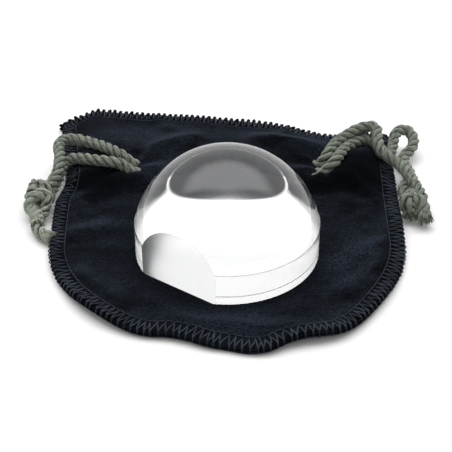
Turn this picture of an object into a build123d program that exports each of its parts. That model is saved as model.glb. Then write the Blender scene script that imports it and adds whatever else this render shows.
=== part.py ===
"""Low vision dome magnifier lying on its drawstring pouch.

Units are millimetres. Z is up and z = 0 is the underside of the pouch. The lens stands over the
origin, the pouch's mouth points to +Y and its rounded bottom to -Y.
"""
from build123d import *
from math import cos, pi, radians, tan
import os

os.makedirs("parts", exist_ok=True)

# lens: a dome on a short straight skirt, with one flat cut into its side
LENS_RADIUS = 32.5
SKIRT_HEIGHT = 12.0
SHOULDER = 0.3
DOME_RADIUS = 33.0
DOME_CENTRE_HEIGHT = 5.4
BASE_BEVEL = 0.5
FLAT_DISTANCE = 28.6
FLAT_AZIMUTH = -125.0
LENS_CLEARANCE = 0.3

# pouch: two cloth panels of one outline, straight sides and an elliptical bottom
CLOTH = 1.0
LAYER_GAP = 0.3
PANEL_HALF_WIDTH = 63.0
BOTTOM_ARC_Y = 14.0
BOTTOM_DEPTH = 67.5
MOUTH_LEFT_Y = 94.0
MOUTH_MIDDLE_Y = 87.0
MOUTH_RIGHT_Y = 77.0
SEAM_WIDTH = 1.0

# the front panel is lifted over the drawcords, from behind the lens up to the mouth
FRONT_UNDERSIDE = CLOTH + LAYER_GAP
FRONT_TOP = FRONT_UNDERSIDE + CLOTH
LIFT = 4.3
LIFT_SLOPE = 55.0
LIFT_HALF_WIDTH = 60.0
LIFT_START_Y = 34.5
LIFT_END_Y = 120.0

# cord holes in the front panel
HOLE_X = 35.0
HOLE_Y = 49.5
HOLE_WIDTH = 10.0
HOLE_LENGTH = 14.0
HOLE_CORNER = 2.5

# the front panel is cut from a cloth that reaches this far past the mouth
MOUTH_ALLOWANCE = 20.0

# drawcords: both cross inside the pouch and are tied together at each side; RUN_SHARE is the part
# of each straight run that a corner's arc may take
CORD_DIAMETER = 4.0
RUN_SHARE = 0.45
START = 0.001
FRONT_CORD_ROUTE = [
    (-68.2, 35.0, 5.6),
    (-65.8, 40.5, 6.6),
    (-64.9, 46.0, 8.3),
    (-65.5, 53.6, 9.1),
    (-67.2, 60.4, 9.2),
    (-65.6, 65.6, 9.0),
    (-60.6, 66.6, 8.7),
    (-53.6, 62.8, 8.9),
    (-45.5, 58.7, 9.1),
    (-38.6, 53.3, 9.0),
    (-32.6, 51.9, 3.4),
    (-22.0, 57.6, 3.2),
    (-8.0, 62.0, 3.2),
    (8.0, 62.4, 3.2),
    (21.5, 58.4, 3.2),
    (32.4, 51.9, 3.5),
    (36.0, 51.6, 8.8),
    (39.6, 57.2, 9.6),
    (43.8, 61.7, 10.6),
    (48.5, 65.0, 12.2),
    (53.4, 67.2, 13.6),
    (58.2, 67.2, 14.2),
    (60.0, 62.6, 14.0),
    (59.2, 57.2, 12.8),
    (61.4, 52.6, 10.6),
    (65.2, 49.9, 8.4),
    (67.8, 46.4, 6.9),
    (69.2, 41.3, 6.6),
    (70.8, 35.4, 6.0),
]
BACK_CORD_ROUTE = [
    (-67.4, 34.6, 3.4),
    (-66.0, 41.2, 3.4),
    (-65.0, 47.4, 4.3),
    (-64.6, 52.8, 5.0),
    (-61.0, 54.9, 6.8),
    (-55.4, 51.5, 8.5),
    (-49.5, 49.4, 8.9),
    (-43.6, 48.2, 8.9),
    (-38.4, 47.2, 8.8),
    (-32.6, 46.6, 3.6),
    (-22.0, 51.2, 3.2),
    (-7.8, 55.6, 3.2),
    (7.8, 56.0, 3.2),
    (21.5, 51.6, 3.2),
    (33.4, 46.3, 3.5),
    (38.6, 46.8, 8.9),
    (42.5, 52.4, 9.2),
    (46.2, 58.2, 9.2),
    (50.3, 62.7, 9.4),
    (55.4, 66.0, 9.3),
    (59.6, 63.9, 8.9),
    (60.6, 58.4, 7.7),
    (65.0, 57.4, 6.3),
    (67.0, 64.0, 6.0),
    (67.6, 71.0, 7.3),
    (71.2, 75.9, 7.8),
    (75.8, 75.3, 6.0),
    (76.2, 69.0, 3.8),
    (73.8, 62.0, 2.8),
    (72.8, 53.4, 2.6),
    (70.4, 45.4, 2.7),
    (68.8, 37.0, 3.2),
]

# knots: each holds one end of both cords and lets their cut tails out at the other side
LEFT_KNOT_CENTRE = (-70.6, 31.0, 5.1)
LEFT_KNOT_RADIUS = 5.0
LEFT_KNOT_HALF_LENGTH = 8.5
LEFT_TAILS = [
    [(-71.0, 25.0, 4.4), (-70.2, 19.4, 3.4), (-69.2, 14.2, 2.9)],
    [(-69.2, 24.0, 2.9), (-68.2, 15.0, 2.4), (-67.0, 8.0, 2.2)],
]
RIGHT_KNOT_CENTRE = (70.2, 32.2, 5.4)
RIGHT_KNOT_RADIUS = 5.3
RIGHT_KNOT_HALF_LENGTH = 6.8
RIGHT_TAILS = [
    [(69.2, 29.0, 4.4), (67.8, 25.4, 3.2), (66.9, 21.8, 2.8)],
    [(72.2, 28.0, 4.4), (73.2, 23.2, 3.2), (74.6, 18.6, 2.8)],
]
TAIL_DIAMETER = 4.4


def outline(half_width, depth, mouth_shift=0.0):
    """Plan outline of the pouch: elliptical bottom, straight sides, curved mouth."""
    left = (-half_width, MOUTH_LEFT_Y + mouth_shift)
    middle = (0, MOUTH_MIDDLE_Y + mouth_shift)
    right = (half_width, MOUTH_RIGHT_Y + mouth_shift)
    with BuildSketch() as shape:
        with BuildLine():
            EllipticalCenterArc((0, BOTTOM_ARC_Y), half_width, depth, start_angle=180, arc_size=180)
            Line((half_width, BOTTOM_ARC_Y), right)
            ThreePointArc(right, middle, left)
            Line(left, (-half_width, BOTTOM_ARC_Y))
        make_face()
    return shape.sketch


def corner_radii(route):
    """Largest tangent arc that each corner's two runs leave room for."""
    radii = []
    for before, corner, after in zip(route, route[1:], route[2:]):
        arriving = Vector(*corner) - Vector(*before)
        leaving = Vector(*after) - Vector(*corner)
        turn = arriving.get_angle(leaving)
        shorter = min(arriving.length, leaving.length)
        radii.append(RUN_SHARE * shorter / tan(radians(turn) / 2))
    return radii


def cord_path(route):
    """Straight runs joined by tangent arcs."""
    with BuildLine() as path:
        FilletPolyline(*route, radius=corner_radii(route))
    return path


PANEL = outline(PANEL_HALF_WIDTH, BOTTOM_DEPTH)
PANEL_OPEN = outline(PANEL_HALF_WIDTH, BOTTOM_DEPTH, mouth_shift=MOUTH_ALLOWANCE)
PANEL_AND_MOUTH_THREAD = outline(PANEL_HALF_WIDTH, BOTTOM_DEPTH, mouth_shift=SEAM_WIDTH)
PANEL_AND_SEAM = outline(PANEL_HALF_WIDTH + SEAM_WIDTH, BOTTOM_DEPTH + SEAM_WIDTH)

# lens
lens_base = FRONT_TOP + LENS_CLEARANCE
skirt_top = lens_base + SKIRT_HEIGHT
dome_start_height = SKIRT_HEIGHT + SHOULDER
dome_start_radius = (DOME_RADIUS**2 - (dome_start_height - DOME_CENTRE_HEIGHT) ** 2) ** 0.5
dome_start = (dome_start_radius, lens_base + dome_start_height)
dome_top = (0, lens_base + DOME_CENTRE_HEIGHT + DOME_RADIUS)
with BuildPart() as lens:
    with BuildSketch(Plane.XZ):
        with BuildLine():
            Polyline(
                dome_top,
                (0, lens_base),
                (LENS_RADIUS - BASE_BEVEL, lens_base),
                (LENS_RADIUS, lens_base + BASE_BEVEL),
                (LENS_RADIUS, skirt_top),
                dome_start,
            )
            RadiusArc(dome_start, dome_top, -DOME_RADIUS)
        make_face()
    revolve(axis=Axis.Z)
    flat_normal = Vector(1, 0, 0).rotate(Axis.Z, FLAT_AZIMUTH)
    split(bisect_by=Plane(flat_normal * FLAT_DISTANCE, z_dir=flat_normal), keep=Keep.BOTTOM)
lens.part.label = "lens"
export_step(lens.part, "parts/lens.step")

# pouch back panel
with BuildPart() as pouch_back_panel:
    with BuildSketch():
        add(PANEL)
    extrude(amount=CLOTH)
pouch_back_panel.part.label = "pouch_back_panel"
export_step(pouch_back_panel.part, "parts/pouch_back_panel.step")

# the front cloth before it is trimmed: a flat sheet with a hollow raised area open at the mouth
with BuildPart() as front_cloth:
    lift_middle_y = (LIFT_START_Y + LIFT_END_Y) / 2
    lift_length = LIFT_END_Y - LIFT_START_Y
    wall_across = CLOTH / cos(radians(LIFT_SLOPE))
    with BuildSketch(Plane.XY.offset(FRONT_UNDERSIDE)):
        add(PANEL_OPEN)
    extrude(amount=CLOTH)
    with BuildSketch(Plane.XY.offset(FRONT_UNDERSIDE)):
        with Locations((0, lift_middle_y)):
            Rectangle(2 * LIFT_HALF_WIDTH, lift_length)
    extrude(amount=LIFT + CLOTH, taper=LIFT_SLOPE)
    with BuildSketch(Plane.XY.offset(FRONT_UNDERSIDE)):
        with Locations((0, lift_middle_y)):
            Rectangle(2 * (LIFT_HALF_WIDTH - wall_across), lift_length - 2 * wall_across)
    extrude(amount=LIFT, taper=LIFT_SLOPE, mode=Mode.SUBTRACT)

trim_height = FRONT_TOP + LIFT + CLOTH

# pouch front panel with its two cord holes
with BuildPart() as pouch_front_panel:
    add(front_cloth.part)
    with BuildSketch():
        add(PANEL)
    extrude(amount=trim_height, mode=Mode.INTERSECT)
    with BuildSketch():
        with Locations((-HOLE_X, HOLE_Y), (HOLE_X, HOLE_Y)):
            RectangleRounded(HOLE_WIDTH, HOLE_LENGTH, HOLE_CORNER)
    extrude(amount=trim_height, mode=Mode.SUBTRACT)
pouch_front_panel.part.label = "pouch_front_panel"
export_step(pouch_front_panel.part, "parts/pouch_front_panel.step")

# overlock thread that joins both panels round the sides and the bottom
with BuildPart() as side_seam_thread:
    with BuildSketch():
        add(PANEL_AND_SEAM)
        add(PANEL_OPEN, mode=Mode.SUBTRACT)
    extrude(amount=FRONT_TOP)
side_seam_thread.part.label = "side_seam_thread"
export_step(side_seam_thread.part, "parts/side_seam_thread.step")

# overlock threads along the two edges of the mouth
with BuildPart() as back_mouth_thread:
    with BuildSketch():
        add(PANEL_AND_MOUTH_THREAD)
        add(PANEL, mode=Mode.SUBTRACT)
    extrude(amount=CLOTH)
back_mouth_thread.part.label = "back_mouth_thread"
export_step(back_mouth_thread.part, "parts/back_mouth_thread.step")

with BuildPart() as front_mouth_thread:
    add(front_cloth.part)
    with BuildSketch():
        add(PANEL_AND_MOUTH_THREAD)
        add(PANEL, mode=Mode.SUBTRACT)
    extrude(amount=trim_height, mode=Mode.INTERSECT)
front_mouth_thread.part.label = "front_mouth_thread"
export_step(front_mouth_thread.part, "parts/front_mouth_thread.step")

# drawcords
for cord_name, route in (("front_drawcord", FRONT_CORD_ROUTE), ("back_drawcord", BACK_CORD_ROUTE)):
    path = cord_path(route)
    with BuildPart() as drawcord:
        with BuildSketch(Plane(route[0], z_dir=path.line @ START - path.line @ 0)):
            Circle(CORD_DIAMETER / 2)
        sweep(path=path.line)
    drawcord.part.label = cord_name
    export_step(drawcord.part, f"parts/{cord_name}.step")
    section_times_length = pi * CORD_DIAMETER**2 / 4 * path.wire().length
    print(cord_name, "length", round(path.wire().length, 1))
    print("radii", [round(r, 1) for r in corner_radii(route)])
    print("volume", round(drawcord.part.volume), "section times length", round(section_times_length))

# knots with their tails
for knot_name, centre, radius, half_length, tails in (
    ("left_knot", LEFT_KNOT_CENTRE, LEFT_KNOT_RADIUS, LEFT_KNOT_HALF_LENGTH, LEFT_TAILS),
    ("right_knot", RIGHT_KNOT_CENTRE, RIGHT_KNOT_RADIUS, RIGHT_KNOT_HALF_LENGTH, RIGHT_TAILS),
):
    with BuildPart() as knot:
        with BuildSketch(Plane(centre)):
            with BuildLine():
                EllipticalCenterArc((0, 0), radius, half_length, start_angle=-90, arc_size=180)
                Line((0, half_length), (0, -half_length))
            make_face()
        revolve(axis=Axis(centre, (0, 1, 0)))
        for tail in tails:
            tail_path = cord_path(tail)
            with BuildSketch(Plane(tail[0], z_dir=tail_path.line @ START - tail_path.line @ 0)):
                Circle(TAIL_DIAMETER / 2)
            sweep(path=tail_path.line)
    knot.part.label = knot_name
    export_step(knot.part, f"parts/{knot_name}.step")
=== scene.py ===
"""Looks of the low vision magnifier: a solid glass dome standing on its velour drawstring pouch.

Sizes and places below are in millimetres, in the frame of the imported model, unless they say otherwise.
"""
import random
from math import asin, cos, exp, pi, radians, sin, sqrt, tan

import bmesh
import bpy
import numpy as np
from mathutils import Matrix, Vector, noise
from mathutils.geometry import delaunay_2d_cdt


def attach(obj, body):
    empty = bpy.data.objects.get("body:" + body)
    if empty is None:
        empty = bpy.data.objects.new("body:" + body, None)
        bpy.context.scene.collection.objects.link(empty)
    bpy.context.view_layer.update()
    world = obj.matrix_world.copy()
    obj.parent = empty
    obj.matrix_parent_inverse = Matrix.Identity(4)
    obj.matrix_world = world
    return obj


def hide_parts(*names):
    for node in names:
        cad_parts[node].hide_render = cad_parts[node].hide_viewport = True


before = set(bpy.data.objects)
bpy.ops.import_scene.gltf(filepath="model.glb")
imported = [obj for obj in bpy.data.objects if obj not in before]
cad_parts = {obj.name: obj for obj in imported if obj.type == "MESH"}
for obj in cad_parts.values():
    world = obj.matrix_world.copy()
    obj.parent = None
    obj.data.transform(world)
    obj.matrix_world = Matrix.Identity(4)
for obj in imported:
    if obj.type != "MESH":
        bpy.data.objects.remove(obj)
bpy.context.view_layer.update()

MM = 0.001
scene = bpy.context.scene


# ---------------------------------------------------------------- camera
CAMERA_PLACE = (0.0, -324.43, 236.58)
CAMERA_AIM = (-0.00106, 0.82252, -0.56874)
SENSOR = 36.0
FOCAL_LENGTH = 89.55

camera = bpy.data.objects.new("camera", bpy.data.cameras.new("camera"))
scene.collection.objects.link(camera)
scene.camera = camera
camera.data.sensor_width = SENSOR
camera.data.lens = FOCAL_LENGTH
camera.data.clip_start = 10 * MM
camera.location = Vector(CAMERA_PLACE) * MM
camera.rotation_euler = Vector(CAMERA_AIM).to_track_quat("-Z", "Y").to_euler()


# ---------------------------------------------------------------- small tools
def smooth(low, high, value):
    """0 below low, 1 above high, an S-curve between. low may be the greater one."""
    share = min(max((value - low) / (high - low), 0.0), 1.0)
    return share * share * (3 - 2 * share)


def ripple(x, y, size, seed):
    """Gentle noise from -1 to 1 with bumps of about that size."""
    return noise.noise(Vector((x / size + 7.3 * seed, y / size - 3.1 * seed, 1.7 * seed)))


# kept for the vertices of a tube that isn't part of a rope; further out than any rope's surface
NO_CORE = 9.0
TIP_BULGE = 0.4


class Mesh:
    """Vertices, faces and texture coordinates that pile up until they become one object."""

    def __init__(self):
        self.vertices = []
        self.faces = []
        self.corners = []
        self.outward = []

    def add_tube(self, line, radii, sides, ridges=0, ridge_share=0.0, twist=0.0, core=None):
        """A closed tube along the points, with ridges that twist round it.

        Where the tube is part of a rope, core is the middle line of that rope, and outward keeps how far
        each vertex is from it.
        """
        line = np.array(line, float)
        radii = np.broadcast_to(radii, (len(line),))
        travelled = along(line)
        tangents, normals, binormals = frames(line)
        first = len(self.vertices)
        for i, centre in enumerate(line):
            for side in range(sides):
                angle = 2 * pi * side / sides
                wave = 1 + ridge_share * cos(ridges * angle + twist * travelled[i])
                spoke = cos(angle) * normals[i] + sin(angle) * binormals[i]
                self.vertices.append(centre + radii[i] * wave * spoke)
                away = NO_CORE if core is None else np.linalg.norm(self.vertices[-1] - core[i])
                self.outward.append(float(away))
        for i in range(len(line) - 1):
            for side in range(sides):
                after = (side + 1) % sides
                low, high = first + i * sides, first + (i + 1) * sides
                self.faces.append((low + side, low + after, high + after, high + side))
                u, v = (side / sides, (side + 1) / sides), (travelled[i], travelled[i + 1])
                self.corners += [(u[0], v[0]), (u[1], v[0]), (u[1], v[1]), (u[0], v[1])]
        for ring, outward, place in ((0, -1, 0), (len(line) - 1, 1, -1)):
            self.vertices.append(line[ring] + outward * TIP_BULGE * radii[ring] * tangents[ring])
            self.outward.append(self.outward[first + ring * sides])
            tip, start = len(self.vertices) - 1, first + ring * sides
            for side in range(sides):
                after = (side + 1) % sides
                pair = (start + side, start + after) if outward > 0 else (start + after, start + side)
                self.faces.append((*pair, tip))
                self.corners += [(side / sides, travelled[place])] * 3

    def build(self, name, *materials):
        """One smooth object made of everything piled up."""
        data = bpy.data.meshes.new(name)
        data.from_pydata([tuple(Vector(v) * MM) for v in self.vertices], [], self.faces)
        if len(self.corners) == len(data.loops):
            layer = data.uv_layers.new(name="strand")
            layer.data.foreach_set("uv", np.array(self.corners, np.float32).ravel())
        if len(self.outward) == len(self.vertices):
            layer = data.attributes.new("outward", "FLOAT", "POINT")
            layer.data.foreach_set("value", np.array(self.outward, np.float32))
        data.polygons.foreach_set("use_smooth", [True] * len(data.polygons))
        for material in materials:
            data.materials.append(material)
        made = bpy.data.objects.new(name, data)
        scene.collection.objects.link(made)
        return made


def along(line):
    """Distance travelled at each point of a line."""
    steps = np.linalg.norm(np.diff(np.array(line, float), axis=0), axis=1)
    return np.concatenate(([0.0], np.cumsum(steps)))


def frames(line):
    """Tangents of a line, and two normals that don't spin about it."""
    tangents = np.gradient(np.array(line, float), axis=0)
    tangents /= np.linalg.norm(tangents, axis=1)[:, None]
    seed = (0.0, 0.0, 1.0) if abs(tangents[0][2]) < 0.9 else (1.0, 0.0, 0.0)
    normal = np.array(seed)
    normals = []
    for tangent in tangents:
        normal = normal - tangent * normal.dot(tangent)
        normal = normal / np.linalg.norm(normal)
        normals.append(normal)
    normals = np.array(normals)
    return tangents, normals, np.cross(tangents, normals)


def spline_points(name, route, per_span):
    """Points read from the smooth NURBS line that has the route as its control points."""
    curve = bpy.data.curves.new(name + "_line", "CURVE")
    curve.dimensions = "3D"
    curve.resolution_u = per_span
    spline = curve.splines.new("NURBS")
    spline.points.add(len(route) - 1)
    for point, place in zip(spline.points, route):
        point.co = (*(Vector(place) * MM), 1.0)
    spline.order_u = 3
    spline.use_endpoint_u = True
    holder = bpy.data.objects.new(name + "_line", curve)
    read = bpy.data.meshes.new_from_object(holder)
    points = np.array([v.co for v in read.vertices]) / MM
    bpy.data.objects.remove(holder)
    return points


# ---------------------------------------------------------------- materials
def new_material(name, colour, roughness):
    """A material and its one shader, with the same colour and roughness all over."""
    material = bpy.data.materials.new(name)
    material.use_nodes = True
    shader = material.node_tree.nodes["Principled BSDF"]
    shader.inputs["Base Color"].default_value = (*colour, 1)
    shader.inputs["Roughness"].default_value = roughness
    return material, shader


class Nodes:
    """Short names for adding and joining the nodes of one material."""

    def __init__(self, material):
        self.tree = material.node_tree

    def join(self, value, socket):
        """Link another node's output to the socket, or set the socket to a plain value."""
        if isinstance(value, bpy.types.NodeSocket):
            self.tree.links.new(value, socket)
        else:
            socket.default_value = value

    def tilt(self, direction):
        """How far the surface leans towards a direction, from -1 to 1."""
        geometry = self.tree.nodes.new("ShaderNodeNewGeometry")
        dot = self.tree.nodes.new("ShaderNodeVectorMath")
        dot.operation = "DOT_PRODUCT"
        self.tree.links.new(geometry.outputs["Normal"], dot.inputs[0])
        dot.inputs[1].default_value = direction
        return dot.outputs["Value"]

    def near(self, centre, radius):
        """1 about a place, fading to 0 at the radius."""
        source = self.tree.nodes.new("ShaderNodeTexCoord")
        away = self.tree.nodes.new("ShaderNodeVectorMath")
        away.operation = "DISTANCE"
        self.tree.links.new(source.outputs["Object"], away.inputs[0])
        away.inputs[1].default_value = Vector(centre) * MM
        return self.ramp(away.outputs["Value"], radius * MM, 0.25 * radius * MM)

    def attribute(self, name):
        """A number that the mesh keeps at each vertex."""
        node = self.tree.nodes.new("ShaderNodeAttribute")
        node.attribute_name = name
        return node.outputs["Fac"]

    def place(self, kind="Object", scale=(1, 1, 1)):
        """Where on the object a point is."""
        source = self.tree.nodes.new("ShaderNodeTexCoord")
        mapping = self.tree.nodes.new("ShaderNodeMapping")
        mapping.inputs["Scale"].default_value = scale
        self.tree.links.new(source.outputs[kind], mapping.inputs["Vector"])
        return mapping.outputs["Vector"]

    def noise(self, place, size, detail=3.0, roughness=0.55):
        """Noise with features of that size in millimetres."""
        node = self.tree.nodes.new("ShaderNodeTexNoise")
        self.tree.links.new(place, node.inputs["Vector"])
        node.inputs["Scale"].default_value = 1 / (size * MM)
        node.inputs["Detail"].default_value = detail
        node.inputs["Roughness"].default_value = roughness
        return node.outputs["Fac"]

    def ramp(self, value, low, high):
        """0 below low and 1 above high."""
        node = self.tree.nodes.new("ShaderNodeMapRange")
        node.interpolation_type = "SMOOTHSTEP"
        self.join(value, node.inputs["Value"])
        node.inputs["From Min"].default_value = low
        node.inputs["From Max"].default_value = high
        return node.outputs["Result"]

    def mix(self, share, first, second, blend="MIX"):
        """The first colour, with that share of the second mixed in."""
        node = self.tree.nodes.new("ShaderNodeMix")
        node.data_type = "RGBA"
        node.blend_type = blend
        self.join(share, node.inputs[0])
        self.join(first if isinstance(first, bpy.types.NodeSocket) else (*first, 1), node.inputs[6])
        self.join(second if isinstance(second, bpy.types.NodeSocket) else (*second, 1), node.inputs[7])
        return node.outputs[2]

    def sum(self, first, share, second):
        """The first value plus that share of the second."""
        node = self.tree.nodes.new("ShaderNodeMath")
        node.operation = "MULTIPLY_ADD"
        self.join(second, node.inputs[0])
        node.inputs[1].default_value = share
        self.join(first, node.inputs[2])
        return node.outputs["Value"]

    def bump(self, height, depth, shader):
        """Relief whose full height is that many millimetres."""
        node = self.tree.nodes.new("ShaderNodeBump")
        node.inputs["Distance"].default_value = depth * MM
        self.tree.links.new(height, node.inputs["Height"])
        self.tree.links.new(node.outputs["Normal"], shader.inputs["Normal"])


# painted shade: darker patches beside the holes and the cords, and at the left corner: place, radius, weight
PAINTED_SHADE_PATCHES = (
    ((46.0, 46.0, 6.5), 17.0, 0.95),
    ((56.0, 50.0, 6.0), 14.0, 0.85),
    ((-53.0, 43.0, 6.0), 13.0, 0.75),
    ((-42.0, 43.0, 6.5), 12.0, 0.75),
    ((30.0, 40.0, 5.0), 10.0, 0.6),
    ((-60.0, 80.0, 5.0), 15.0, 0.75),
)
# painted sheen: paler patches where the brushed pile and the fold ridges catch the light: place, radius,
# weight
PAINTED_SHEEN_PATCHES = (
    ((-24.0, 66.0, 6.0), 13.0, 0.25),
    ((39.0, 63.0, 6.0), 12.0, 0.25),
    ((-45.0, 8.0, 5.0), 11.0, 0.2),
    ((50.0, -2.0, 5.0), 11.0, 0.15),
    ((0.0, -48.0, 3.0), 24.0, 0.6),
    ((-26.0, -46.0, 3.0), 18.0, 0.4),
)
# the darkest pile colour, also used for the painted shade patches
DARK_PILE_AND_SHADE = (0.0006, 0.0008, 0.0014)
PILE_MIDDLE = (0.0026, 0.0033, 0.0054)
# the pale pile colour, also used for the painted light and the painted sheen
PALE_PILE_AND_SHEEN = (0.0158, 0.0209, 0.0316)
GRAIN_DARKEST = 0.12
GRAIN_PALEST = 2.1
BRUSHED_SHARE = 0.6
BACK_SLOPE_LIGHT_SHARE = 0.9


def velour(name, strength):
    """Dark navy pile, paler in random patches where it is brushed the other way; painted light on slopes that
    face the back, painted sheen in the listed paler patches and painted shade in the listed darker ones.

    strength scales all its colours.
    """
    material, shader = new_material(name, (0.004, 0.005, 0.009), 0.95)
    nodes = Nodes(material)
    place = nodes.place()
    brushed = nodes.ramp(nodes.noise(nodes.place(scale=(1.0, 1.6, 1.0)), 30.0, 3.0, 0.6), 0.50, 0.72)
    # painted light: slopes that face the back, towards the bright backdrop, turn paler
    back_slope_light = nodes.ramp(nodes.tilt((-0.25, 0.95, 0.0)), -0.15, 0.34)
    mottle = nodes.noise(place, 2.4, 4.0, 0.7)
    pile = nodes.noise(place, 0.55, 2.0)
    grain = nodes.ramp(nodes.noise(place, 0.8, 4.0, 0.75), 0.30, 0.70)
    dark_and_shade = tuple(strength * c for c in DARK_PILE_AND_SHADE)
    middle = tuple(strength * c for c in PILE_MIDDLE)
    pale = tuple(strength * c for c in PALE_PILE_AND_SHEEN)
    colour = nodes.mix(nodes.ramp(mottle, 0.38, 0.66), dark_and_shade, middle)
    colour = nodes.mix(nodes.sum(0.0, BRUSHED_SHARE, brushed), colour, pale)
    colour = nodes.mix(nodes.sum(0.0, BACK_SLOPE_LIGHT_SHARE, back_slope_light), colour, pale)
    # painted sheen: the paler patches mix in the pale pile colour
    for centre, radius, weight in PAINTED_SHEEN_PATCHES:
        colour = nodes.mix(nodes.sum(0.0, weight, nodes.near(centre, radius)), colour, pale)
    # painted shade: the darker patches mix in the darkest pile colour
    for centre, radius, weight in PAINTED_SHADE_PATCHES:
        colour = nodes.mix(nodes.sum(0.0, weight, nodes.near(centre, radius)), colour, dark_and_shade)
    speckle = nodes.mix(grain, (GRAIN_DARKEST,) * 3, (GRAIN_PALEST,) * 3)
    colour = nodes.mix(1.0, colour, speckle, "MULTIPLY")
    nodes.join(colour, shader.inputs["Base Color"])
    shader.inputs["Specular IOR Level"].default_value = 0.04
    shader.inputs["Sheen Weight"].default_value = 0.02
    shader.inputs["Sheen Roughness"].default_value = 0.45
    shader.inputs["Sheen Tint"].default_value = (0.65, 0.78, 1.0, 1)
    nodes.bump(nodes.sum(pile, 0.8, mottle), 0.5, shader)
    return material


def thread():
    """Slate sewing thread: fine twisted filaments."""
    material, shader = new_material("seam_thread", (0.013, 0.017, 0.024), 0.7)
    nodes = Nodes(material)
    strand = nodes.noise(nodes.place("UV", (2.0, 0.6, 1.0)), 300.0, 2.0)
    patch = nodes.noise(nodes.place(), 6.0, 2.0)
    colour = nodes.mix(nodes.ramp(strand, 0.3, 0.7), (0.014, 0.018, 0.027), (0.062, 0.077, 0.104))
    colour = nodes.mix(nodes.ramp(patch, 0.35, 0.7), colour, (0.016, 0.021, 0.031))
    nodes.join(colour, shader.inputs["Base Color"])
    shader.inputs["Specular IOR Level"].default_value = 0.25
    nodes.bump(strand, 0.15, shader)
    return material


# distances from the middle of a rope: where the plies meet, and its outside
CREASE_REACH = 1.30
CORD_SURFACE = 2.25
PATCH_TONE = 0.72
# how dark the painted shade is where the plies meet
CREASE_SHADE_TONE = 0.16


def cord_fibre(name, pale, dark_and_shade):
    """Grey-green cotton: fine fibres along each ply, darker between them, with painted shade where the plies
    meet.
    """
    material, shader = new_material(name, pale, 0.9)
    nodes = Nodes(material)
    fibres = nodes.noise(nodes.place("UV", (9.0, 0.55, 1.0)), 900.0, 3.0)
    patch = nodes.noise(nodes.place(), 5.0, 3.0)
    fuzz = nodes.noise(nodes.place(), 0.5, 2.0)
    colour = nodes.mix(nodes.ramp(fibres, 0.25, 0.62), dark_and_shade, pale)
    colour = nodes.mix(nodes.ramp(patch, 0.42, 0.75), colour, tuple(PATCH_TONE * c for c in pale))
    # painted shade: darker towards where the plies meet, by each vertex's distance from the middle of the
    # rope
    crease_shade_mask = nodes.ramp(nodes.attribute("outward"), CREASE_REACH, CORD_SURFACE)
    colour = nodes.mix(crease_shade_mask, tuple(CREASE_SHADE_TONE * c for c in dark_and_shade), colour)
    nodes.join(colour, shader.inputs["Base Color"])
    shader.inputs["Specular IOR Level"].default_value = 0.15
    shader.inputs["Sheen Weight"].default_value = 0.05
    nodes.bump(nodes.sum(fibres, 0.5, fuzz), 0.25, shader)
    return material


def glass(name, roughness, clear=1.0, tint=(1, 1, 1)):
    """Glass, or glass that a little haze makes less than clear."""
    material, shader = new_material(name, tint, roughness)
    shader.inputs["Transmission Weight"].default_value = clear
    shader.inputs["IOR"].default_value = GLASS_IOR
    return material


# ---------------------------------------------------------------- drawcords
CORD_DIAMETER = 4.0
FRONT_CORD_ROUTE = [
    (-68.2, 35.0, 5.6),
    (-65.8, 40.5, 6.6),
    (-64.9, 46.0, 8.3),
    (-65.5, 53.6, 9.1),
    (-67.2, 60.4, 9.2),
    (-65.6, 65.6, 9.0),
    (-60.6, 66.6, 8.7),
    (-53.6, 62.8, 8.9),
    (-47.5, 58.8, 9.1),
    (-41.4, 54.0, 9.0),
    (-35.6, 52.5, 3.4),
    (-22.0, 57.6, 3.2),
    (-8.0, 62.0, 3.2),
    (8.0, 62.4, 3.2),
    (21.5, 58.4, 3.2),
    (35.4, 52.5, 3.5),
    (38.6, 52.6, 8.8),
    (41.0, 57.6, 9.6),
    (43.8, 61.7, 10.6),
    (48.5, 65.0, 12.2),
    (53.4, 67.2, 13.6),
    (57.6, 67.9, 14.1),
    (60.0, 66.3, 13.2),
    (59.3, 61.7, 12.2),
    (59.7, 56.6, 10.8),
    (61.8, 53.0, 9.3),
    (65.1, 51.3, 8.0),
    (67.3, 48.6, 7.4),
    (69.1, 44.3, 7.2),
    (70.4, 40.0, 7.0),
    (71.4, 36.2, 6.6),
]
BACK_CORD_ROUTE = [
    (-67.4, 34.6, 3.4),
    (-66.0, 41.2, 3.4),
    (-65.0, 47.4, 4.3),
    (-64.6, 52.8, 5.0),
    (-61.0, 54.9, 6.8),
    (-55.4, 51.5, 8.5),
    (-49.5, 49.4, 8.9),
    (-45.6, 48.7, 8.9),
    (-41.2, 47.8, 8.8),
    (-35.7, 47.2, 3.6),
    (-22.0, 51.2, 3.2),
    (-7.8, 55.6, 3.2),
    (7.8, 56.0, 3.2),
    (21.5, 51.6, 3.2),
    (36.4, 47.0, 3.5),
    (41.2, 47.8, 8.9),
    (43.8, 53.0, 9.2),
    (46.2, 58.2, 9.2),
    (50.3, 62.7, 9.4),
    (55.4, 66.0, 9.3),
    (59.6, 63.9, 8.9),
    (60.6, 58.4, 7.7),
    (62.5, 57.6, 5.6),
    (65.3, 61.9, 4.9),
    (66.8, 66.5, 5.6),
    (67.4, 70.4, 7.0),
    (69.0, 74.0, 7.8),
    (71.9, 76.0, 7.8),
    (74.8, 75.2, 7.0),
    (75.9, 70.8, 5.8),
    (74.6, 66.2, 4.8),
    (72.0, 63.4, 3.6),
    (70.2, 61.4, 2.9),
    (69.9, 57.4, 2.8),
    (71.2, 52.4, 2.9),
    (71.6, 47.6, 3.3),
    (70.0, 42.2, 3.6),
    (67.8, 39.0, 3.8),
]
# a yarn that has come loose in front of the right hole
FRAYED_YARN = [(36.6, 46.4, 7.4), (35.6, 44.4, 7.6), (34.4, 43.0, 7.3), (32.6, 42.2, 7.0)]
POINTS_PER_SPAN = 16
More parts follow.
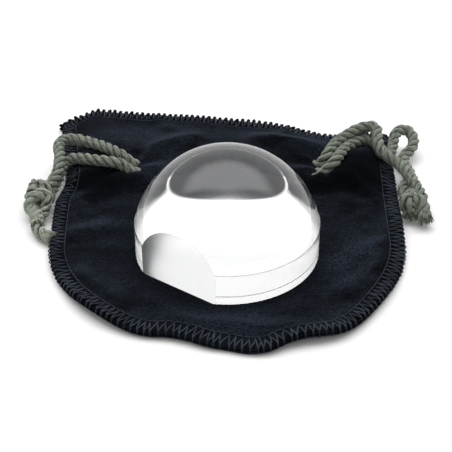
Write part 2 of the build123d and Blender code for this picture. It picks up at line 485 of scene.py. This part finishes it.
# three plies turn once round the rope in one lead, and each ply shows the ridges of its own yarns
PLIES = 3
PLY_RADIUS = 1.16
PLY_OFFSET = 1.14
PLY_LEAD = 10.5
PLY_SIDES = 14
YARNS_PER_PLY = 5
YARN_RELIEF = 0.09
YARN_TWIST = 1.1
FUZZ_REACH = 1.6
FUZZ_ON_CORD = 90
FUZZ_ON_STRAND = 30
FIBRES_IN_TUFT = 85
YARN_RADIUS = 0.34


def add_rope(mesh, line, size=1.0, swell=1.0, splay=0.0):
    """Twisted plies along a line. Towards its end they swell, and splay apart."""
    travelled = along(line)
    tangents, normals, binormals = frames(line)
    share = travelled / travelled[-1]
    fatter = size * (1 + (swell - 1) * share**2)
    apart = PLY_OFFSET * (1 + splay * share**3)
    for ply in range(PLIES):
        angle = 2 * pi * (ply / PLIES + travelled / PLY_LEAD)
        spokes = np.cos(angle)[:, None] * normals + np.sin(angle)[:, None] * binormals
        uneven = np.array([1 + 0.05 * noise.noise(Vector((s / 7, ply * 9.1, 0.4))) for s in travelled])
        mesh.add_tube(
            line + (apart * fatter)[:, None] * spokes,
            PLY_RADIUS * fatter * uneven,
            PLY_SIDES,
            YARNS_PER_PLY,
            YARN_RELIEF,
            YARN_TWIST,
            core=line,
        )


def add_fuzz(mesh, line, count, draw):
    """Loose fibres that stand off a rope."""
    tangents, normals, binormals = frames(line)
    for _ in range(count):
        i = draw.randrange(len(line))
        angle = draw.uniform(0, 2 * pi)
        spoke = cos(angle) * normals[i] + sin(angle) * binormals[i]
        lean = tangents[i] * draw.uniform(-1.0, 1.0)
        root = line[i] + 0.85 * (CORD_DIAMETER / 2) * spoke
        length = draw.uniform(0.5, 1.0) * FUZZ_REACH
        middle = root + length * (0.45 * spoke + 0.5 * lean)
        tip = root + length * (0.75 * spoke + 1.1 * lean)
        tip[2] = max(tip[2], 0.3)
        mesh.add_tube([root, middle, tip], (0.09, 0.08, 0.04), 3)


cord_material = cord_fibre("cord_cotton", (0.270, 0.298, 0.248), (0.052, 0.058, 0.045))
worn_material = cord_fibre("cord_worn_cotton", (0.375, 0.408, 0.340), (0.080, 0.088, 0.070))
tail_material = cord_fibre("cord_tail_cotton", (0.440, 0.465, 0.385), (0.150, 0.162, 0.130))
frayed_material = cord_fibre("cord_frayed_cotton", (0.330, 0.350, 0.290), (0.105, 0.114, 0.092))
for name, route, seed in (("front_drawcord", FRONT_CORD_ROUTE, 1), ("back_drawcord", BACK_CORD_ROUTE, 2)):
    line = spline_points(name, route, POINTS_PER_SPAN)
    rope = Mesh()
    add_rope(rope, line)
    add_fuzz(rope, line, FUZZ_ON_CORD, random.Random(seed))
    made = rope.build(name + "_rope", cord_material)
    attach(made, "pouch")
    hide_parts(name)


# ---------------------------------------------------------------- knots
LEFT_FIRST_STRAND = [
    (-68.2, 35.6, 5.4),
    (-70.0, 34.6, 7.6),
    (-73.2, 33.6, 6.9),
    (-74.2, 32.0, 3.6),
    (-71.0, 30.2, 2.2),
    (-67.4, 29.2, 3.4),
    (-66.9, 28.0, 6.6),
    (-70.2, 26.9, 8.3),
    (-73.6, 25.6, 6.4),
    (-73.4, 23.8, 3.4),
    (-71.2, 21.6, 3.4),
    (-70.2, 18.8, 3.6),
    (-69.6, 15.4, 3.4),
]
LEFT_SECOND_STRAND = [
    (-67.4, 35.2, 3.4),
    (-70.2, 37.0, 2.6),
    (-73.8, 37.2, 4.2),
    (-73.8, 36.0, 7.2),
    (-70.4, 33.2, 8.2),
    (-66.9, 31.6, 6.2),
    (-66.8, 31.0, 3.0),
    (-70.4, 29.6, 2.2),
    (-74.4, 29.4, 4.0),
    (-74.0, 29.0, 7.2),
    (-70.4, 29.8, 8.3),
    (-67.0, 26.6, 6.4),
    (-67.6, 22.6, 3.2),
    (-69.8, 18.4, 2.4),
    (-70.2, 15.0, 2.2),
    (-68.8, 11.5, 2.2),
    (-66.8, 8.8, 2.2),
    (-65.0, 7.8, 2.2),
]
RIGHT_FIRST_STRAND = [
    (71.4, 36.2, 6.6),
    (71.9, 33.0, 6.6),
    (73.0, 28.4, 6.5),
    (73.0, 25.2, 5.4),
    (70.8, 23.8, 3.4),
    (67.7, 24.0, 3.0),
    (66.0, 26.4, 4.2),
    (67.0, 27.0, 6.8),
    (69.4, 25.2, 8.0),
    (71.6, 23.2, 7.2),
    (72.8, 21.4, 5.2),
    (73.0, 19.4, 4.2),
]
RIGHT_SECOND_STRAND = [
    (67.8, 39.0, 3.8),
    (66.8, 36.0, 3.8),
    (67.2, 33.4, 3.2),
    (69.6, 31.4, 2.8),
    (71.2, 28.0, 2.8),
    (69.2, 22.4, 4.4),
    (66.4, 21.6, 6.4),
    (66.2, 24.2, 8.0),
    (69.0, 28.0, 7.6),
    (71.4, 29.6, 5.0),
    (69.4, 26.0, 4.4),
    (68.4, 22.4, 3.6),
]


def add_tuft(mesh, line, reach, spread, draw):
    """The cut end of a rope, opened into a brush of fibres."""
    tangents, normals, binormals = frames(line)
    tip, ahead = line[-1], tangents[-1]
    for _ in range(FIBRES_IN_TUFT):
        angle, away = draw.uniform(0, 2 * pi), sqrt(draw.random())
        spoke = cos(angle) * normals[-1] + sin(angle) * binormals[-1]
        length = reach * draw.uniform(0.55, 1.0)
        points = []
        for share in (0.0, 0.35, 0.7, 1.0):
            bend = Vector((draw.uniform(-1, 1), draw.uniform(-1, 1), draw.uniform(-1, 1))) * 0.35 * share
            out = away * (1.7 + spread * share**1.2)
            point = tip - 1.5 * ahead + (length + 1.5) * share * ahead + out * spoke + np.array(bend)
            point[2] = max(point[2], 0.35)
            points.append(point)
        mesh.add_tube(points, (0.34, 0.36, 0.32, 0.14), 4)


# each strand and its size, and for each knot its tufts' reach and spread, then its two materials
LEFT_STRANDS = ((LEFT_FIRST_STRAND, 1.0), (LEFT_SECOND_STRAND, 0.85))
RIGHT_STRANDS = ((RIGHT_FIRST_STRAND, 0.95), (RIGHT_SECOND_STRAND, 0.95))
FIRST_KNOT_SEED = 5
knots = {}
for name, strands, tuft, finishes in (
    ("left_knot", LEFT_STRANDS, (3.2, 0.8), (worn_material, tail_material)),
    ("right_knot", RIGHT_STRANDS, (3.6, 1.5), (cord_material, frayed_material)),
):
    draw = random.Random(len(knots) + FIRST_KNOT_SEED)
    knot, tufts = Mesh(), Mesh()
    for strand, size in strands:
        line = spline_points(name, strand, POINTS_PER_SPAN)
        add_rope(knot, line, size, swell=1.08, splay=0.25)
        add_fuzz(knot, line, FUZZ_ON_STRAND, draw)
        add_tuft(tufts, line, *tuft, draw)
    if name == "right_knot":
        tufts.add_tube(FRAYED_YARN, YARN_RADIUS, 6)
    made = knot.build(name + "_rope", finishes[0])
    brush = tufts.build(name + "_tails", finishes[1])
    for piece in (made, brush):
        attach(piece, "pouch")
    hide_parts(name)
    knots[name] = (made, brush)


# ---------------------------------------------------------------- lens
GLASS_IOR = 1.52
LENS_BASE = 2.6
LENS_RADIUS = 32.5
SKIRT_HEIGHT = 12.0
SHOULDER = 0.05
DOME_RADIUS = 33.0
DOME_CENTRE = 5.4
BASE_BEVEL = 0.5
LOW_GROOVE = 3.4
GROOVE = 0.2
FLAT_DISTANCE = 28.6
FLAT_AZIMUTH = -125.0
LENS_SEGMENTS = 288
DOME_RINGS = 72
BASE_RINGS = 12
SHARP_ANGLE = 4.0
# the lens's material slots
POLISHED, FLAT, SKIRT, BASE, GROOVED = range(5)


def lens_profile():
    """Radius and height of the turned outline, from the middle of the base to the top."""
    profile = [((LENS_RADIUS - BASE_BEVEL) * i / BASE_RINGS, 0.0) for i in range(BASE_RINGS + 1)]
    profile.append((LENS_RADIUS, BASE_BEVEL))
    profile += [(LENS_RADIUS, LOW_GROOVE), (LENS_RADIUS - GROOVE, LOW_GROOVE + GROOVE)]
    profile += [(LENS_RADIUS, LOW_GROOVE + 2 * GROOVE), (LENS_RADIUS, SKIRT_HEIGHT)]
    start = asin((SKIRT_HEIGHT + SHOULDER - DOME_CENTRE) / DOME_RADIUS)
    for i in range(DOME_RINGS + 1):
        angle = start + (pi / 2 - start) * i / DOME_RINGS
        profile.append((DOME_RADIUS * cos(angle), DOME_CENTRE + DOME_RADIUS * sin(angle)))
    return profile


def make_lens():
    """The dome turned on its axis, cut flat at one side, each surface with its own finish."""
    materials = [
        glass("lens_polished_glass", 0.0),
        glass("lens_flat_glass", 0.45),
        glass("lens_skirt_glass", 0.12),
        glass("lens_base_glass", 0.005, 0.94, (0.90, 0.94, 1.0)),
        glass("lens_groove_glass", 0.60, 0.5, (0.74, 0.76, 0.77)),
    ]
    made = bmesh.new()
    rings = []
    for radius, height in lens_profile():
        count = LENS_SEGMENTS if radius > 0.001 else 1
        turn = [2 * pi * i / count for i in range(count)]
        spots = [Vector((radius * cos(a), radius * sin(a), LENS_BASE + height)) * MM for a in turn]
        rings.append([made.verts.new(spot) for spot in spots])
    for low, high in zip(rings, rings[1:]):
        for i in range(LENS_SEGMENTS):
            after = (i + 1) % LENS_SEGMENTS
            corners = [low[i % len(low)], low[after % len(low)], high[after % len(high)], high[i % len(high)]]
            made.faces.new(list(dict.fromkeys(corners)))
    facing = Vector((cos(radians(FLAT_AZIMUTH)), sin(radians(FLAT_AZIMUTH)), 0))
    cut = bmesh.ops.bisect_plane(
        made,
        geom=made.verts[:] + made.edges[:] + made.faces[:],
        plane_co=facing * FLAT_DISTANCE * MM,
        plane_no=facing,
        clear_outer=True,
        dist=1e-7,
    )
    rim = [item for item in cut["geom_cut"] if isinstance(item, bmesh.types.BMEdge)]
    bmesh.ops.contextual_create(made, geom=rim)
    bmesh.ops.recalc_face_normals(made, faces=made.faces)
    data = bpy.data.meshes.new("lens_glass")
    for face in made.faces:
        face.smooth = True
        face.material_index = POLISHED
        height = face.calc_center_median().z / MM - LENS_BASE
        if len(face.verts) > 4 and abs(face.normal.dot(facing)) > 0.999:
            face.material_index = FLAT
        elif height < 0.01:
            face.material_index = BASE
        elif height < SKIRT_HEIGHT:
            level = abs(face.normal.z) < 0.1 or height < BASE_BEVEL
            face.material_index = SKIRT if level else GROOVED
    made.to_mesh(data)
    made.free()
    for material in materials:
        data.materials.append(material)
    data.set_sharp_from_angle(angle=radians(SHARP_ANGLE))
    lens = bpy.data.objects.new("lens_glass", data)
    scene.collection.objects.link(lens)
    return lens


lens = make_lens()
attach(lens, "lens")
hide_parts("lens")


# ---------------------------------------------------------------- pouch outline
LEFT_SIDE = [(-69.0, 88.0), (-65.0, 62.0), (-62.5, 45.0), (-64.5, 30.0)]
RIGHT_SIDE = [(64.5, 30.0), (65.5, 55.0), (66.5, 80.0)]
# mouth edges, from the right corner to the left one
FRONT_MOUTH = [(57.0, 79.0), (42.0, 74.0), (18.0, 84.0), (-24.0, 91.5), (-54.0, 95.5), (-64.0, 93.5)]
BACK_MOUTH = [(52.0, 81.0), (5.0, 87.5), (-50.0, 95.0), (-67.5, 92.5)]
# the bottom is half an ellipse, with waves where the seam pulls the cloth: place, half width, depth
BOTTOM_CENTRE_Y = 6.0
BOTTOM_HALF_WIDTH = 63.5
BOTTOM_DEPTH = 58.0
BOTTOM_WAVES = ((-17.0, 9.0, 3.0), (11.0, 8.0, -3.0), (39.0, 12.0, -4.5))
BOTTOM_STEPS = 30
STITCH_PITCH = 2.35
STITCH_BITE = 5.0
EDGE_STEP = 1.4
GRID_STEP = 1.7
CLOTH = 1.0
HOLE_PLACES = ((-38.4, 50.0), (38.5, 49.8))
HOLE_HALF_WIDTH = 3.9
HOLE_HALF_LENGTH = 5.4
HOLE_SIDES = 28
ROW_SHARE = 0.87


def bottom_edge():
    """The round bottom, from the left side to the right one."""
    points = []
    for step in range(BOTTOM_STEPS + 1):
        angle = pi * (1 + step / BOTTOM_STEPS)
        x = BOTTOM_HALF_WIDTH * cos(angle)
        y = BOTTOM_CENTRE_Y + BOTTOM_DEPTH * sin(angle)
        for place, half_width, depth in BOTTOM_WAVES:
            y += depth * exp(-(((x - place) / half_width) ** 2))
        points.append((x, y))
    return points


sides_and_bottom = LEFT_SIDE + bottom_edge() + RIGHT_SIDE


def through(points, closed):
    """A smooth line through the points, with a point about every EDGE_STEP."""
    count = len(points)
    line = []
    for i in range(count if closed else count - 1):
        if closed:
            a, b, c, d = (Vector(points[(i + k) % count]) for k in (-1, 0, 1, 2))
        else:
            b, c = Vector(points[i]), Vector(points[i + 1])
            a = Vector(points[i - 1]) if i else 2 * b - c
            d = Vector(points[i + 2]) if i + 2 < count else 2 * c - b
        steps = max(2, round((c - b).length / EDGE_STEP))
        for step in range(steps):
            t = step / steps
            line.append(0.5 * (2 * b + (c - a) * t + (2 * a - 5 * b + 4 * c - d) * t**2
                               + (3 * b - a - 3 * c + d) * t**3))
    if not closed:
        line.append(Vector(points[-1]))
    return line


# ---------------------------------------------------------------- heights of the cloth
LIFT_HEIGHT = 4.2
FRONT_TOP = 2.35
BACK_TOP = 1.0
FOLD_GAIN = 1.25
# soft folds in the front panel: start, end, height before the gain, half width
FOLDS = (
    ((-33.0, 60.0), (-12.0, 72.0), 1.5, 4.0),
    ((12.0, 72.0), (42.0, 60.0), 1.7, 4.0),
    ((40.0, 50.0), (58.0, 32.0), 1.2, 2.6),
    ((40.0, 46.0), (47.0, 26.0), 0.7, 3.0),
    ((-38.0, 44.0), (-60.0, 30.0), 0.9, 4.0),
    ((-60.0, 8.0), (-42.0, 14.0), 1.0, 4.0),
    ((-52.0, -14.0), (-36.0, -32.0), 0.8, 5.0),
    ((44.0, -4.0), (60.0, 4.0), 0.8, 3.6),
    ((40.0, -26.0), (56.0, -8.0), 0.7, 4.0),
    ((-24.0, 78.0), (-30.0, 92.0), 0.9, 3.5),
    ((20.0, 74.0), (26.0, 80.0), 0.6, 3.0),
    ((-20.0, -42.0), (24.0, -44.0), 0.9, 3.6),
    ((45.0, 53.0), (60.0, 57.0), 2.2, 6.0),
)


# the cloth dips into each hole and gathers round it
HOLE_REACH = 24.0
HOLE_DIP = 1.7
HOLE_DIP_RADIUS = 6.5
GATHERS = 7
GATHER_HEIGHT = 0.55
GATHER_TURN = 1.3
# ranges over which the front panel changes: under the lens, over the cords, at its sides and at the mouth
UNDER_LENS = (41.0, 33.5)
LIFT_START = (35.5, 46.0)
LIFT_SIDES = (63.5, 54.0)
MOUTH_DROP = (66.0, 84.0)
RIGHT_DROP = (10.0, 44.0)
FLAT_RIM = (2.0, 9.0)
# ripples: height and size
LONG_RIPPLE = (0.75, 19.0)
SHORT_RIPPLE = (0.22, 6.0)
LOOSENESS = 0.5


def fold_height(x, y):
    """Height that the folds add."""
    total = 0.0
    for start, end, height, half_width in FOLDS:
        a, b, p = Vector(start), Vector(end), Vector((x, y))
        run = b - a
        share = (p - a).dot(run) / run.length_squared
        away = (p - a - run * min(max(share, 0), 1)).length
        ends = smooth(-0.25, 0.25, share) * smooth(1.25, 0.75, share)
        total += FOLD_GAIN * height * exp(-((away / half_width) ** 2)) * ends
    return total


def hole_pull(x, y):
    """Height that the cord holes add: a dip at each, and gathers round it."""
    dip = 0.0
    for hole_x, hole_y in HOLE_PLACES:
        dx, dy = x - hole_x, y - hole_y
        away = sqrt(dx * dx + dy * dy)
        if away < HOLE_REACH:
            angle = np.arctan2(dy, dx)
            gather = GATHER_HEIGHT * cos(GATHERS * angle + GATHER_TURN)
            gather *= smooth(HOLE_REACH, 9.0, away) * smooth(3.0, 8.0, away)
            dip += -HOLE_DIP * exp(-((away / HOLE_DIP_RADIUS) ** 2)) + gather
    return dip


def front_height(x, y):
    """Top of the front panel."""
    under_lens = smooth(*UNDER_LENS, sqrt(x * x + y * y))
    lifted = smooth(*LIFT_START, y) * smooth(*LIFT_SIDES, abs(x))
    drop = smooth(*MOUTH_DROP, y) * (1.6 + 1.0 * smooth(*RIGHT_DROP, x))
    loose = fold_height(x, y)
    for seed, (rise, size) in enumerate((LONG_RIPPLE, SHORT_RIPPLE), 1):
        loose += rise * ripple(x, y, size, seed)
    edge = smooth(*FLAT_RIM, inside(x, y))
    height = FRONT_TOP + lifted * (LIFT_HEIGHT - drop) + hole_pull(x, y) * lifted
    height += (loose + LOOSENESS) * edge * (1 - under_lens)
    return height + curl(x, y) * (1 - under_lens)


def back_height(x, y):
    """Top of the back panel."""
    return BACK_TOP + curl(x, y)


def curl(x, y):
    """The stitched rim stands up a little off the table in places."""
    near = smooth(9.0, 0.0, inside(x, y))
    angle = np.arctan2(y - 14.0, x)
    wave = 0.9 + 0.8 * sin(5 * angle + 0.6) + 0.5 * sin(11 * angle + 2.0)
    return near * max(wave, 0.0) * smooth(40.0, 10.0, y)


rim_line = np.array([tuple(p) for p in through(sides_and_bottom, closed=False)])


def inside(x, y):
    """Distance from the stitched sides and bottom, measured flat."""
    return float(np.sqrt(((rim_line - (x, y)) ** 2).sum(axis=1).min()))


def make_panel(name, mouth, height, holes):
    """A cloth panel of one thickness whose top follows the height function."""
    edge = through(sides_and_bottom + mouth, closed=True)
    rings = [edge]
    for hole_x, hole_y in holes:
        turn = [2 * pi * i / HOLE_SIDES for i in range(HOLE_SIDES)]
        rings.append([
            Vector((hole_x + HOLE_HALF_WIDTH * cos(a), hole_y + HOLE_HALF_LENGTH * sin(a))) for a in turn
        ])
    points, edges = [], []
    for ring in rings:
        first = len(points)
        points += ring
        edges += [(first + i, first + (i + 1) % len(ring)) for i in range(len(ring))]
    boundary = np.array([tuple(p) for p in points])
    low, high = boundary.min(axis=0), boundary.max(axis=0)
    for row in range(int((high[1] - low[1]) / (GRID_STEP * ROW_SHARE))):
        y = low[1] + row * GRID_STEP * ROW_SHARE
        for column in range(int((high[0] - low[0]) / GRID_STEP) + 1):
            x = low[0] + (column + 0.5 * (row % 2)) * GRID_STEP
            if ((boundary - (x, y)) ** 2).sum(axis=1).min() > (0.6 * GRID_STEP) ** 2:
                points.append(Vector((x, y)))
    flat, _, faces, *_ = delaunay_2d_cdt(points, edges, [list(range(len(edge)))], 1, 1e-5)
    kept = []
    for face in faces:
        centre = sum((flat[i] for i in face), Vector((0, 0))) / len(face)
        in_hole = any(
            ((centre.x - hx) / HOLE_HALF_WIDTH) ** 2 + ((centre.y - hy) / HOLE_HALF_LENGTH) ** 2 < 0.97
            for hx, hy in holes
        )
        if not in_hole:
            kept.append(face)
    used = sorted({i for face in kept for i in face})
    new = {old: i for i, old in enumerate(used)}
    tops = [(flat[i].x, flat[i].y, height(flat[i].x, flat[i].y)) for i in used]
    cloth = Mesh()
    cloth.vertices = tops + [(x, y, z - CLOTH) for x, y, z in tops]
    below = len(tops)
    # edges with a face on one side only, in the order they are met
    border = {}
    for face in kept:
        ring = [new[i] for i in face]
        cloth.faces.append(ring)
        cloth.faces.append([below + i for i in reversed(ring)])
        for a, b in zip(ring, ring[1:] + ring[:1]):
            if (b, a) in border:
                del border[(b, a)]
            else:
                border[(a, b)] = True
    cloth.faces += [(b, a, below + a, below + b) for a, b in border]
    panel = cloth.build(name, velour_material, rim_material)
    for face in panel.data.polygons:
        face.material_index = int(inside(face.center.x / MM, face.center.y / MM) < STITCH_BITE)
    return panel


velour_material = velour("pouch_velour", 1.0)
rim_material = velour("pouch_velour_rim", 0.5)
front_panel = make_panel("pouch_front_cloth", FRONT_MOUTH, front_height, HOLE_PLACES)
back_panel = make_panel("pouch_back_cloth", BACK_MOUTH, back_height, ())
for panel, node in ((front_panel, "pouch_front_panel"), (back_panel, "pouch_back_panel")):
    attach(panel, "pouch")
    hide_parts(node)


# ---------------------------------------------------------------- overlock stitching
THREAD_RADIUS = 0.24
NEEDLE_THREAD_RADIUS = 0.16


def stitch_places(line, pitch):
    """Places, directions along the edge and directions into the cloth, one for each stitch."""
    line = np.array([tuple(p) for p in line])
    travelled = along(line)
    count = int(travelled[-1] / pitch)
    steps = [(i + 0.5) * travelled[-1] / count for i in range(count)]
    spots = np.stack([np.interp(steps, travelled, line[:, k]) for k in (0, 1)], axis=1)
    ahead = np.gradient(spots, axis=0)
    ahead /= np.linalg.norm(ahead, axis=1)[:, None]
    inward = np.stack([-ahead[:, 1], ahead[:, 0]], axis=1)
    return spots, ahead, inward


def add_overlock(mesh, line, top, underside, proud, draw):
    """Zigzag thread over and under an edge, looped round it. It stands about that proud of the edge."""
    spots, ahead, inward = stitch_places(line, STITCH_PITCH)
    over, under = [], []
    for spot, forward, inner in zip(spots, ahead, inward):
        bite = STITCH_BITE * draw.uniform(0.78, 1.06)
        stand = proud * draw.uniform(0.8, 1.2)
        lean = STITCH_PITCH * draw.uniform(-0.17, 0.17)
        # how far along the edge, how far in from it and how far above the cloth; below 0 is round the edge
        route = (
            (0.00 + lean, bite, 0.10),
            (0.10 * STITCH_PITCH + lean, 0.55 * bite, 0.30),
            (0.20 * STITCH_PITCH + lean, 0.5, 0.42),
            (0.30 * STITCH_PITCH + lean, -stand, -0.30),
            (0.40 * STITCH_PITCH + lean, 0.5, 0.42),
            (0.72 * STITCH_PITCH + lean, 0.55 * bite, 0.30),
        )
        for forth, into, above in route:
            x, y = spot + forth * forward + into * inner
            if above < 0:
                over.append((x, y, 0.5 * (top(x, y) + underside(x, y))))
                under.append(over[-1])
            else:
                over.append((x, y, top(x, y) + above))
                under.append((x, y, max(underside(x, y) - above, 0.2)))
    mesh.add_tube(over, THREAD_RADIUS, 6, 2, 0.14, 4.0)
    mesh.add_tube(under, THREAD_RADIUS * 0.9, 5)


def add_teeth(mesh, line, top, proud, draw):
    """Rim of the cloth pinched by every stitch into a plump tooth."""
    spots, ahead, inward = stitch_places(line, STITCH_PITCH)
    for spot, forward, inner in zip(spots, ahead, inward):
        stand = proud * draw.uniform(0.75, 1.2)
        lean = draw.uniform(-0.25, 0.45)
        points = []
        for into, above in ((3.2, 0.0), (1.6, 0.25), (0.2, 0.25), (-0.6 * stand, 0.05), (-stand, -0.15)):
            share = max(-into, 0) / stand
            x, y = spot + (0.3 * STITCH_PITCH + lean * share) * forward + into * inner
            points.append((x, y, max(top(x, y) - 0.35 + above, 0.5)))
        mesh.add_tube(points, (0.25, 0.72, 0.86, 0.74, 0.38), 8)


def add_needle_line(mesh, line, top):
    """The straight row of needle stitches along the inner side of the overlock."""
    spots, ahead, inward = stitch_places(line, STITCH_PITCH)
    points = []
    for spot, forward, inner in zip(spots, ahead, inward):
        for forth, above in ((0.0, -0.2), (0.25, 0.22), (0.5, 0.28), (0.75, 0.22)):
            x, y = spot + forth * STITCH_PITCH * forward + (STITCH_BITE + 0.2) * inner
            points.append((x, y, top(x, y) + above))
    mesh.add_tube(points, NEEDLE_THREAD_RADIUS, 5)


def front_underside(x, y):
    """Underside of the front panel."""
    return front_height(x, y) - CLOTH


def back_underside(x, y):
    """Underside of the back panel."""
    return back_height(x, y) - CLOTH


thread_material = thread()
side_line = through(sides_and_bottom, closed=False)
front_mouth_line = through([sides_and_bottom[-1], *FRONT_MOUTH, sides_and_bottom[0]], closed=False)
back_mouth_line = through([sides_and_bottom[-1], *BACK_MOUTH, sides_and_bottom[0]], closed=False)
# piece, node, edge line, top and underside of the cloth, how proud the stitches stand, seed
SEAMS = (
    ("side_overlock", "side_seam_thread", side_line, front_height, back_underside, 0.5, 11),
    ("front_mouth_overlock", "front_mouth_thread", front_mouth_line, front_height, front_underside, 2.3, 12),
    ("back_mouth_overlock", "back_mouth_thread", back_mouth_line, back_height, back_underside, 1.4, 13),
)
for name, node, line, top, underside, proud, seed in SEAMS:
    stitches = Mesh()
    add_overlock(stitches, line, top, underside, proud, random.Random(seed))
    add_needle_line(stitches, line, top)
    thread_faces = len(stitches.faces)
    if node != "side_seam_thread":
        add_teeth(stitches, line, top, proud, random.Random(seed))
    piece = stitches.build(name, thread_material, rim_material)
    for face in piece.data.polygons[thread_faces:]:
        face.material_index = 1
    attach(piece, "pouch")
    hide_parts(node)


# ---------------------------------------------------------------- floor and light
# in metres
FLOOR_SIZE = 6.0
FLOOR_HEIGHT = -0.0003
ROOM_LIGHT = 0.5
BACKDROP_LIGHT = 0.55
SOFTBOX_LIGHT = 2.4
# the backdrop and the softbox above it stand behind, this far round to each side in degrees
BACKDROP_HALF_ANGLE = 73.0
BACKDROP_BLUR = 0.10
# the softbox's lower and upper edge, as the upward part of the direction to it
SOFTBOX_EDGES = (0.58, 0.80)

floor_material, _ = new_material("floor_white", (0.95, 0.95, 0.95), 0.9)
bpy.ops.mesh.primitive_plane_add(size=FLOOR_SIZE, location=(0, 0, FLOOR_HEIGHT))
ground = bpy.context.object
ground.name = "floor"
ground.data.materials.append(floor_material)

scene.view_settings.view_transform = "Standard"
world = bpy.data.worlds.new("studio")
scene.world = world
world.use_nodes = True
sky = world.node_tree
background = sky.nodes["Background"]
background.inputs["Color"].default_value = (1.0, 1.0, 1.0, 1)
facing = sky.nodes.new("ShaderNodeTexCoord")
split = sky.nodes.new("ShaderNodeSeparateXYZ")
sky.links.new(facing.outputs["Generated"], split.inputs[0])


def sky_math(operation, first, second=0.0, third=0.0):
    """One step of arithmetic on the direction of the light."""
    node = sky.nodes.new("ShaderNodeMath")
    node.operation = operation
    for socket, value in zip(node.inputs, (first, second, third)):
        if isinstance(value, bpy.types.NodeSocket):
            sky.links.new(value, socket)
        else:
            socket.default_value = value
    return node.outputs["Value"]


def sky_ramp(value, low, high):
    """0 below low and 1 above high."""
    node = sky.nodes.new("ShaderNodeMapRange")
    node.interpolation_type = "SMOOTHSTEP"
    sky.links.new(value, node.inputs["Value"])
    node.inputs["From Min"].default_value = low
    node.inputs["From Max"].default_value = high
    return node.outputs["Result"]


sideways = sky_math("ABSOLUTE", split.outputs["X"])
past_edge = sky_math("MULTIPLY_ADD", sideways, -1 / tan(radians(BACKDROP_HALF_ANGLE)), split.outputs["Y"])
behind = sky_ramp(past_edge, -BACKDROP_BLUR, BACKDROP_BLUR)
overhead = sky_math("MULTIPLY", behind, sky_ramp(split.outputs["Z"], *SOFTBOX_EDGES))
light = sky_math("MULTIPLY_ADD", behind, BACKDROP_LIGHT, ROOM_LIGHT)
light = sky_math("MULTIPLY_ADD", overhead, SOFTBOX_LIGHT, light)
sky.links.new(light, background.inputs["Strength"])
